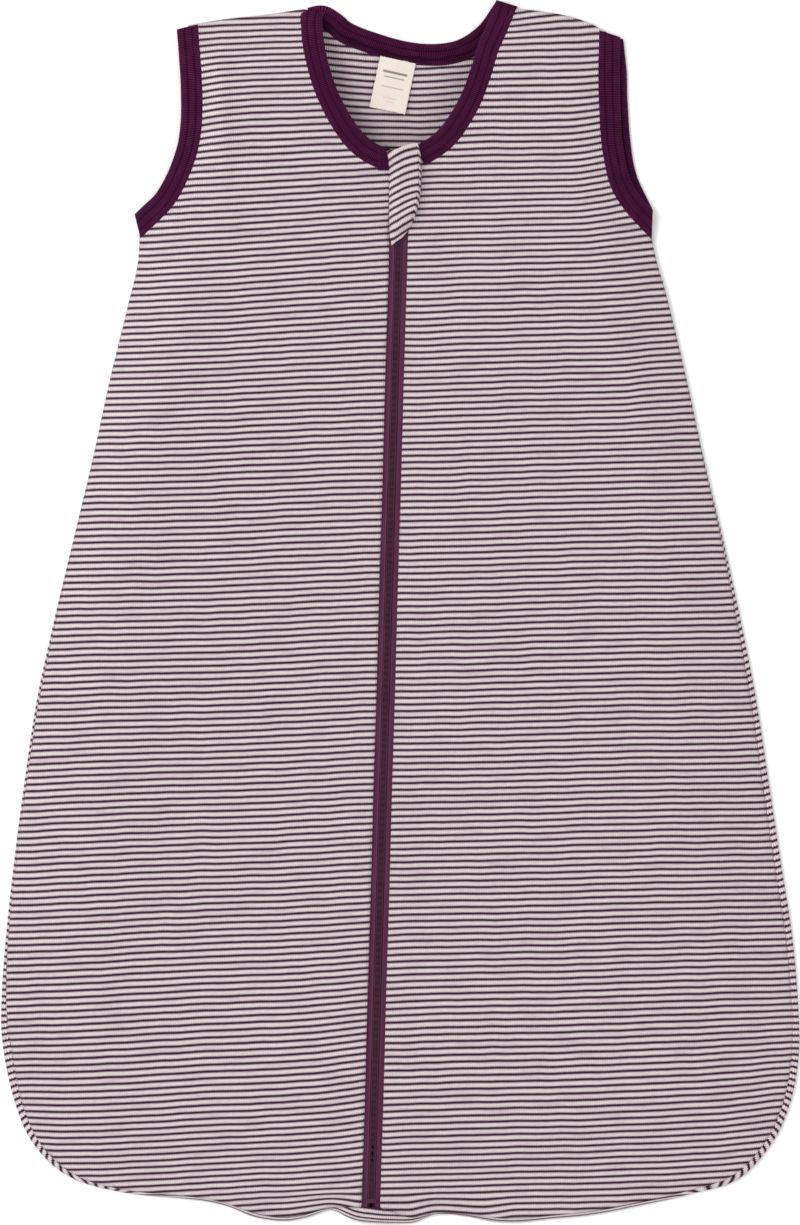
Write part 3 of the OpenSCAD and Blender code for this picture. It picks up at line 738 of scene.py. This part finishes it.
def make_back():
    """The flat back and the strip that rolls forward round its edge up to the side and hem seams."""
    poly = back_polygon()
    p, quads = cloth_grid(poly)
    d = distance(p, silhouette)[0]
    x, y = p[:, 0], p[:, 1]
    lift = 0.45 + 0.35 * np.sin(x / 26 + 1) * np.sin(y / 38) + 0.2 * np.sin((x - y) / 17)
    z = CLOTH + 0.15 + lift * smooth(d / 25) * hill(y, 290, 60)
    parts = [(np.column_stack([p, z]), quads, knit_back(p))]

    outer = resample(np.vstack([left_side[8:], lobe, right_side[::-1][:-1]]), 1.6)
    seam = np.vstack([seam_left[1:], zip_point(arr([-WINDOW, WINDOW]), arr([0, 0])), seam_right[::-1][:-1]])
    fine = resample(seam, 0.8)
    seam_at = np.array([fine[np.argmin(((fine - q) ** 2).sum(1))] for q in outer])
    width = np.linalg.norm(seam_at - outer, axis=1)
    kernel = np.ones(9) / 9
    seam_at = np.stack([np.convolve(np.pad(column, 4, mode="edge"), kernel, "valid")
                        for column in seam_at.T], 1)
    to_seam = seam_at - outer
    ahead = tangents(outer)
    inward = np.stack([-ahead[:, 1], ahead[:, 0]], 1)
    top = front_height(seam_at) - 0.6
    rows = []
    for a in np.linspace(-0.5 * math.pi, 0.5 * math.pi, ROLL_COLS):
        z = ROLL_LOW + (top - ROLL_LOW) * (0.5 * (1 + math.sin(a)))
        shift = (inward * 5.0 if a < 0 else to_seam) * (1 - math.cos(a))
        rows.append(np.column_stack([outer + shift, z]))
    v = np.stack(rows, 1)
    steps = np.arange(float(ROLL_COLS))[None, :, None]
    across = steps * (np.maximum(width, 1.5)[:, None, None] + 3) / (ROLL_COLS - 1) - 2
    flat = outer[:, None, :] - inward[:, None, :] * across
    uv = knit_back(flat.reshape(-1, 2)).reshape(v.shape[0], ROLL_COLS, 2)
    # along the hem the stripes run with the edge, so that only a few of them show on the roll
    around = np.linspace(-1.5, 1, ROLL_COLS)[None, :] * (width[:, None] + 3.5)
    along_hem = smooth((-328 - outer[:, 1:2]) / 12)
    uv[..., 1] = uv[..., 1] * (1 - along_hem) + (-352.6 + 0.02 * outer[:, :1] + around) * along_hem
    roll_faces = strip_faces(len(outer), ROLL_COLS)[:, ::-1]
    parts.append((v.reshape(-1, 3), roll_faces, uv.reshape(-1, 2)))
    v, f, uv = join(parts)
    o = obj("back_cloth", v, f, uv, material=jersey)
    thicken(o, CLOTH)
    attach(o, "bag")
    return o


back = make_back()
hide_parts("back_panel")


# ---- bindings

FACE, UNDER = 36, 9  # points across a band's outer face and its inner one
CHANNEL = 0.62  # depth of the sewn channels


def band_section(edge):
    """(across, height, map, stitch rows) of the folded band: three ridges and two sewn channels."""
    half = BAND_W / 2
    u = np.linspace(-1, 1, FACE)
    rows = [row * edge for row in STITCH_ROWS]
    groove = sum(CHANNEL * hill(u, row, 0.085) for row in rows)
    bead = 0.12 * hill(u, 0.90 * edge, 0.05) - 0.14 * hill(u, 0.80 * edge, 0.05)
    h_top = BAND_T * 0.5 * (1 - np.abs(u) ** 9) - groove + bead - 0.10 * hill(u, 0, 0.05)
    low = np.linspace(1, -1, UNDER + 2)[1:-1]
    h_low = -BAND_T * 0.5 * (1 - np.abs(low) ** 5)
    across = np.r_[u, low] * half
    return across, np.r_[h_top, h_low], across * edge, [row * half for row in rows]


def sweep_band(path, edge, slant, drape=None):
    """Points, faces and map of a band along a 3-D path, its stitch lines, and a call for points on its face.

    edge is the side that the finished edge is on. slant turns each cut end about that edge. drape gives the
    height that each plan point is lifted by.
    """
    reach = 20.0  # how far the path is carried on past each end, for the slanted cuts
    t = tangents(path)
    path = resample(np.vstack([path[:1] - reach * t[:1], path, path[-1:] + reach * t[-1:]]), 0.3)
    lat, nor = side_frames(path)
    a, h, m, rows = band_section(edge)
    s = length_along(path)
    count = len(path)

    def at(values, where):
        return taken_at(where, s, values)

    start = reach + slant[0] * (a - edge * BAND_W / 2)
    stop = s[-1] - reach + slant[1] * (a - edge * BAND_W / 2)
    where = start + (stop - start) * np.linspace(0, 1, count)[:, None]
    shape = (1 - np.abs(a / (BAND_W / 2)) ** 6) * (h > 0)
    rib = 0.15 * np.cos(2 * math.pi * where / 1.0) * shape
    width = 1 + 0.006 * np.sin(where / 13.0) + 0.005 * np.sin(where / 3.1)
    v = at(path, where) + at(lat, where) * (a * width)[..., None] + at(nor, where) * (h + rib)[..., None]
    if drape:
        v[..., 2] += drape(v[..., :2].reshape(-1, 2)).reshape(where.shape)
    cols = len(a)
    uv = np.stack([where, np.broadcast_to(m, where.shape)], -1).reshape(-1, 2)
    faces = strip_faces(count, cols, True).tolist()
    verts = v.reshape(-1, 3)
    middle = v[[0, -1]].mean(1)
    n = len(verts)
    faces += [[n, (k + 1) % cols, k] for k in range(cols)]
    last = (count - 1) * cols
    faces += [[n + 1, last + k, last + (k + 1) % cols] for k in range(cols)]
    verts = np.vstack([verts, middle])
    uv = np.vstack([uv, uv[[0, -1]]])
    lines = []
    for across in rows:
        off = across - edge * BAND_W / 2
        along = np.arange(reach + slant[0] * off, s[-1] - reach + slant[1] * off, 0.25)
        up_here = at(nor, along)
        line = at(path, along) + at(lat, along) * across + up_here * (BAND_T * 0.5 - CHANNEL)
        if drape:
            line[:, 2] += drape(line[:, :2])
        lines.append((line, up_here))

    def place(along, across):
        """Points on the band's outer face."""
        where = along + reach
        return at(path, where) + at(lat, where) * across[:, None] + at(nor, where) * (BAND_T * 0.5)

    return verts, faces, uv, lines, place


def make_band(name, path, edge, slant=(0, 0), drape=None):
    """The band, its stitches, and the call for points on its face."""
    v, f, uv, lines, place = sweep_band(path, edge, slant, drape)
    o = obj(name, v, f, uv, material=binding)
    parts = [stitches(p, n, length=1.6, gap=0.4, radius=0.21) for p, n in lines]
    sv, sf, suv = join(parts)
    return o, obj(name + "_stitches", sv, sf, suv, material=band_thread), place


def on_front(plan):
    """Height of a band's middle over the floor where it lies on a front."""
    return front_height(plan) - CLOTH / 2 + 0.25


def level(plan):
    """A plan path at height zero."""
    return np.column_stack([plan, np.zeros(len(plan))])


def neck_front(side):
    """The neck binding of one front, from the zip to the shoulder."""
    plan = resample(neck_left if side < 0 else neck_right, 1.0)
    name = f"neck_band_{WORD[side]}"
    path = level(plan)
    if side < 0:
        path[:, 2] -= 1.3 * smooth((plan[:, 1] - 340) / 9)
    slant = (0.42, -0.02) if side < 0 else (0.07, 0.1)
    o, st, _ = make_band(name, path, side, slant, on_front)
    bend(o)
    bend(st)
    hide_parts("neck_binding_lapel_left" if side < 0 else "neck_binding_lapel_right")


def neck_back():
    """The back neck binding, inner side up: the coverstitch's loops cover the half nearer the cloth."""
    plan = resample(back_neck, 1.0)
    path = level(plan) + (0, 0, 1.9)
    path[:, 2] += 1.0 * smooth((plan[:, 0] - 36) / 16)
    o, st, place = make_band("neck_band_back", path, -1)
    along = np.arange(2, length_along(path)[-1] - 2, 0.16)
    loops = []
    for shift, reach in ((0.0, 2.1), (0.5, 1.7)):
        wave = 2 * math.pi * along / 1.9 + shift * 2 * math.pi
        path = place(along + 0.35 * np.sin(2 * wave), 2.9 + reach * np.sin(wave)) + (0, 0, 0.05)
        loops.append(tube(path, 0.17, 5))
    v, f, uv = join(loops)
    looped = obj("neck_band_back_loops", v, f, uv, material=band_thread)
    for piece in (o, st, looped):
        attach(piece, "bag")
    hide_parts("neck_binding")


def armhole(side):
    """The armhole binding: one band on the front's edge and one on the back's."""
    word = WORD[side]
    outer = left_arm if side < 0 else right_arm
    behind = left_arm + arr((0.7, 0.0)) if side < 0 else right_arm_back[right_arm_back[:, 1] > 230.5]
    slant = (-0.56, 0.16) if side < 0 else (0.96, -0.3)
    for tag, edge_line in (("", outer), ("_back", behind)):
        middle = resample(inset_path(edge_line, -side * BAND_W / 2), 1.0)
        path = level(middle) + (0, 0, 1.75 if tag else 0)
        o, st, _ = make_band(f"armhole_band_{word}{tag}", path, side, slant, None if tag else on_front)
        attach(o, "bag")
        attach(st, "bag")
    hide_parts(f"armhole_binding_{word}")


def end_patch():
    """The short turned-in end of the left neck binding, beside the zip."""
    middle, narrowed = -9.3, 0.56
    path = level(np.column_stack([np.full(13, middle), np.linspace(266.3, 253.8, 13)]))
    path[:, 2] = 0.2
    v, f, uv, _, _ = sweep_band(path, 1, (0, 0), on_front)
    v[:, 0] = middle + (v[:, 0] - middle) * narrowed
    o = obj("neck_band_end", v, f, uv, material=binding)
    bend(o)


end_patch()
neck_front(-1)
neck_front(1)
neck_back()
armhole(-1)
armhole(1)


# ---- zip

TILT = math.atan((ZIP_Z[1] - ZIP_Z[0]) / ZIP_RUN)


def zip_space(across, along, up):
    """Row-frame points from the zip's own axes."""
    return np.column_stack([zip_point(across, along), ZIP_Z[0] + np.asarray(along) * math.tan(TILT) + up])


def make_tape(side):
    """One woven tape: a thin strip with a soft woven edge, from under the jersey to the coil."""
    across = np.array([0.95, 1.1, 1.3, 1.5, 1.8, 2.0, 2.2, 2.5, 2.9, 3.3, 3.9, 4.6, 5.4, 7.0, 9.0, 11.0,
                       12.3])
    along = np.arange(0, ZIP_RUN - 3, 2.0)
    a, s = np.meshgrid(across, along)
    up = -0.05 - 0.12 * hill(a, 12.4, 0.5) - (0.35 if side > 0 else 0.1) * hill(a, 2.4, 0.28)
    v = zip_space((side * a).ravel(), s.ravel(), up.ravel())
    covered = a.ravel() > WINDOW + 0.6
    v[covered, 2] = np.minimum(v[covered, 2], front_height(v[covered, :2]) - CLOTH - 0.9)
    uv = np.column_stack([a.ravel(), s.ravel()])
    f = strip_faces(len(along), len(across))
    if side < 0:
        f = f[:, ::-1]
    o = obj(f"tape_{WORD[side]}", v, f, uv, material=tape_cloth)
    thicken(o, 0.55)
    bend(o)
    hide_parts(*(f"{n}_{'left' if side < 0 else 'right'}" for n in ("zip_tape", "zip_tape_foot")))


COIL_PITCH = 1.27
COIL_IN, COIL_OUT = -0.20, 1.70  # how far a closed coil's loops reach, from the zip's middle
PARTED = (24, 28)  # where the foot's coils draw apart, to clear the slider's divider when it is down


def coil_path(side, start, end, inner):
    """The coil's wire: inner is where its loops end from PARTED on."""
    turns = (end - start) / COIL_PITCH
    n = int(turns * 12)
    ang = np.linspace(0, 2 * math.pi * turns, n) + (0 if side < 0 else math.pi)
    s = np.linspace(start, end, n)
    reach = np.interp(s, PARTED, (COIL_IN, inner))
    middle, radius = (reach + COIL_OUT) / 2, (COIL_OUT - reach) / 2
    return zip_space(side * (middle + radius * np.cos(ang)), s, 0.58 + 0.48 * np.sin(ang))


def make_coil(side, name, start, end, body, node, inner):
    """One side of the chain: the coil's loops, and the cord that holds them down beside the tape."""
    parts = [tube(coil_path(side, start, end, inner), 0.27)]
    s = np.arange(start, end, 0.5)
    beat = np.cos(s * 2 * math.pi / COIL_PITCH)
    parts.append(tube(zip_space(np.full(len(s), side * 1.62), s, 0.98 + 0.07 * beat), 0.25))
    v, f, uv = join(parts)
    o = obj(name, v, f, uv, material=coil)
    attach(o, body)
    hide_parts(node)


SLIDER_AT = 584.0  # where the closed chain meets the slider
FOLD_AT = 36.2  # where each coil is split into the bag's part and its lapel's
for side, word in WORD.items():
    make_tape(side)
    make_coil(side, f"coil_{word}", FOLD_AT, SLIDER_AT - 1.0, f"lapel_{word}", f"zip_coil_{word}", COIL_IN)
    make_coil(side, f"coil_foot_{word}", 4.5, FOLD_AT - 0.2, "bag", f"zip_coil_foot_{word}", 0.45)

for node in ("zip_slider", "slider_arch", "pull_tab", "top_stop_left", "top_stop_right", "bottom_stop"):
    o = frame["nodes"][node]
    o.data.materials.clear()
    o.data.materials.append(lacquer)
    soft = o.modifiers.new("soft_edges", "BEVEL")
    soft.width, soft.segments, soft.limit_method = 0.18 * MM, 2, "ANGLE"


def overlock(node, plan, side):
    """A seam allowance inside the bag: a narrow strip of the two cloths under a zigzag of thread."""
    inside = resample(plan, 1.2)
    edge, deep = inset_path(inside, side * 0.6), inset_path(inside, side * 6.0)
    low, high = 1.45, 2.05
    v = np.stack([level(p) + (0, 0, z) for p, z in ((edge, low), (edge, high), (deep, high), (deep, low))], 1)
    run = length_along(inside)
    uv = np.stack([np.repeat(run, 4), np.tile((0.0, 0.6, 6.0, 6.6), len(run))], 1)
    parts = [(v.reshape(-1, 3), strip_faces(len(run), 4, True), uv)]
    along = np.arange(0, run[-1], 0.5)
    share = 0.5 + 0.42 * np.cos(2 * math.pi * along / 3.0)
    near, far = (taken_at(along, run, line) for line in (edge, deep))
    parts.append(tube(level(near + (far - near) * share[:, None]) + (0, 0, high + 0.1), 0.16, 4))
    v, f, uv = join(parts)
    o = obj(f"overlock_{node}", v, f, uv, material=seam_thread)
    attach(o, "bag")
    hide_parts(node)


hem_left, hem_right = seam_left[:, 1] < -322, seam_right[:, 1] < -322
overlock("side_seam_left", seam_left[~hem_left], -1)
overlock("side_seam_right", seam_right[~hem_right], 1)
overlock("hem_seam", np.vstack([seam_left[hem_left], seam_right[hem_right][::-1][3:]]), -1)
overlock("shoulder_seam_left", left_shoulder[1:], 1)
overlock("shoulder_seam_right", right_shoulder[1:], -1)


# ---- chin guard

def make_guard():
    """Folded jersey over the slider and its tab: a crown that falls steeply at the right edge."""
    rows, cols = 64, 56
    f, t = np.meshgrid(np.linspace(0, 1, rows), np.linspace(0, 1, cols), indexing="ij")

    def curve(at, *points):
        return np.interp(at, *zip(*points))

    left = curve(f, (0, -5.0), (0.3, -5.5), (0.8, -5.4), (0.92, -5.9), (1, -6.9))
    right = curve(f, (0, 6.1), (0.1, 7.4), (0.2, 8.7), (0.35, 10.3), (0.5, 11.2), (0.75, 11.5), (0.9, 11.2),
                  (1, 10.3))
    low = curve(t, (0, 210.6), (0.22, 213), (0.5, 215), (0.8, 219), (0.95, 221.6), (1, 221.2))
    high = curve(t, (0, 265), (0.33, 266.2), (0.68, 269.1), (0.93, 269.3), (1, 266.5))
    ridge = 0.925  # the share of the width where the right edge starts to fall
    x = left + t * (right - left)
    y = low + f * (high - low)
    crown = 1.2 + 5.0 * smooth((f + 0.02) / 0.22)
    side_in = 1 - (1 - np.clip(t / 0.26, 0, 1)) ** 2
    up = 1.6 + (crown - 1.6 + 0.25 * np.sin(t * 3)) * side_in
    fall = np.clip((t - ridge) / (1 - ridge), 0, 1)
    up = up - (up - 1.9) * fall**1.3 - 0.25 * smooth((t - 0.80) / 0.12)
    up += 0.14 * np.sin(y / 4.1 + 2.5 * t) * (1 - fall)
    plan = np.stack([x.ravel(), y.ravel()], 1)
    z = plateau(plan) + up.ravel()
    width = np.minimum(t, ridge)
    climb = (right - left) * (0.74 * width - (0.10 + 0.56 * smooth(f / 0.55)) * width**2 / 2)
    climb -= 1.0 * (right - left) * np.maximum(t - ridge, 0)
    # the map's stripes rise to the right, and one of them meets the point where the photo shows it
    course = (y - climb) * 0.914
    course -= course[np.argmin(np.abs(f[:, 0] - 0.94)), np.argmin(np.abs(t[0] - 0.82))]
    uv = np.stack([((x - left) * 1.15).ravel(), course.ravel()], 1)
    faces = strip_faces(rows, cols)[:, ::-1]
    o = obj("chin_guard_cloth", np.column_stack([plan, z]), faces, uv, material=jersey)
    thicken(o, 0.9)
    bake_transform(o)
    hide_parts("chin_guard")
    return o


guard = make_guard()


# ---- label

def make_label():
    """Woven label, sewn in at its upper edge and curling a little at the lower one."""
    joint = JOINTS["label_flip"]
    width, length = 21.0, 30.0
    hinge = arr(joint["pos_m"])
    pivot = hinge / MM
    axis = -arr(joint["axis"])
    right = arr((axis[0], axis[1], 0))
    down = arr((right[1], -right[0], 0))
    if down[1] > 0:
        down = -down
    nx, ny = 43, 61
    a, b = np.meshgrid(np.linspace(0, width, nx), np.linspace(0, length, ny))
    fray = 0.18 * rng.standard_normal(a.shape) * (hill(b, 0, 0.4) + hill(b, length, 0.4))
    z = 3.1 + 0.8 * smooth((b - 4) / 26) + 0.35 * np.sin(a / 6.0 + b / 9.0)
    z = z + 1.0 * smooth((b - 24) / 6) * ((a / width) ** 2)
    p = (pivot[None, None, :2] + (a - width / 2)[..., None] * right[:2]
         + (b + fray + 0.4)[..., None] * down[:2])
    v = np.dstack([p, z]).reshape(-1, 3)
    uv = np.column_stack([a.ravel(), b.ravel()])
    o = obj("woven_neck_label", v, strip_faces(ny, nx), uv, material=label_cloth)
    thicken(o, 0.35, 0)
    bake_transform(o)
    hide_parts("neck_label")
    return o


label = make_label()


# ---- floor, light, camera

def make_stage():
    """A wide pale floor, an even sky, and two soft lamps."""
    size = 12000
    v = [(-size, -size, 0), (size, -size, 0), (size, size, 0), (-size, size, 0)]
    floor = obj("floor", v, [(0, 1, 2, 3)], material=floor_material("pale_floor"))
    world = bpy.data.worlds.new("studio")
    world.use_nodes = True
    sky = world.node_tree.nodes["Background"].inputs
    sky["Color"].default_value = (1.0, 1.0, 1.0, 1.0)
    sky["Strength"].default_value = 0.86
    bpy.context.scene.world = world
    for name, place, width_m, power in (("key", (-1.6, 0.65, 2.2), 1.6, 48),
                                        ("fill", (1.6, -1.2, 2.6), 2.0, 14)):
        light = bpy.data.lights.new(name, "AREA")
        light.energy, light.size = power, width_m
        lamp = bpy.data.objects.new(name, light)
        lamp.location = place
        lamp.rotation_euler = (-Vector(place)).to_track_quat("-Z", "Y").to_euler()
        bpy.context.collection.objects.link(lamp)


def make_camera():
    """Straight above, with a long lens as in the photo."""
    distance_m, picture_height_m, mid_height_m, sensor = 6.0, 0.7044, 0.008, 24.0
    data = bpy.data.cameras.new("camera")
    data.sensor_fit, data.sensor_height = "VERTICAL", sensor
    data.lens = sensor * distance_m / picture_height_m
    data.clip_end = 100.0
    camera = bpy.data.objects.new("camera", data)
    camera.location = (0.0, 0.0, distance_m + mid_height_m)
    bpy.context.collection.objects.link(camera)
    bpy.context.scene.camera = camera


make_stage()
make_camera()
bpy.context.scene.view_settings.view_transform = "Standard"
